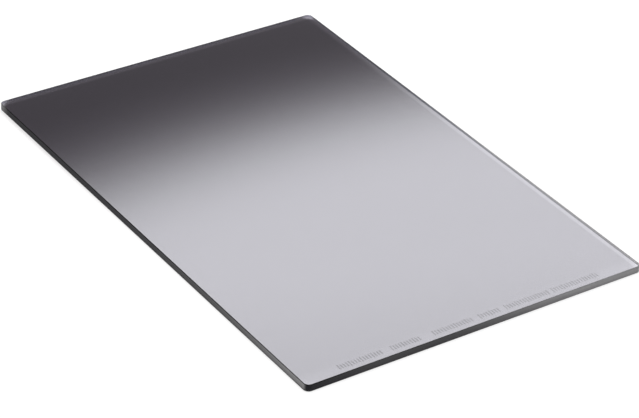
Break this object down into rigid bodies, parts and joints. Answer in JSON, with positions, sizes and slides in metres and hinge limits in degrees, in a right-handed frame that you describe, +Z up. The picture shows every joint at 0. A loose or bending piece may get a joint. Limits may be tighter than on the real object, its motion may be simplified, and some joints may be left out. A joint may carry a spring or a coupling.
{
  "type": "rectangular graduated nd filter",
  "caption": "Flat rectangular glass camera filter, dark grey at one end and fading to pale grey, with round corners and fine chamfered rims, that slides into a lens filter holder.",
  "frame": {"origin": "middle of the bottom face, on which the plate lies", "axes": "+Z up through the thickness, +Y along the length towards the dark end, +X across the width"},
  "size_m": [0.1, 0.15, 0.002],
  "materials": {
    "graduated_glass": "polished faces with a neutral grey that is dark at the +Y end and fades to pale grey by the middle, and fine-ground edges"
  },
  "bodies": {
    "root": {"filter_plate": "graduated_glass"}
  },
  "joints": []
}
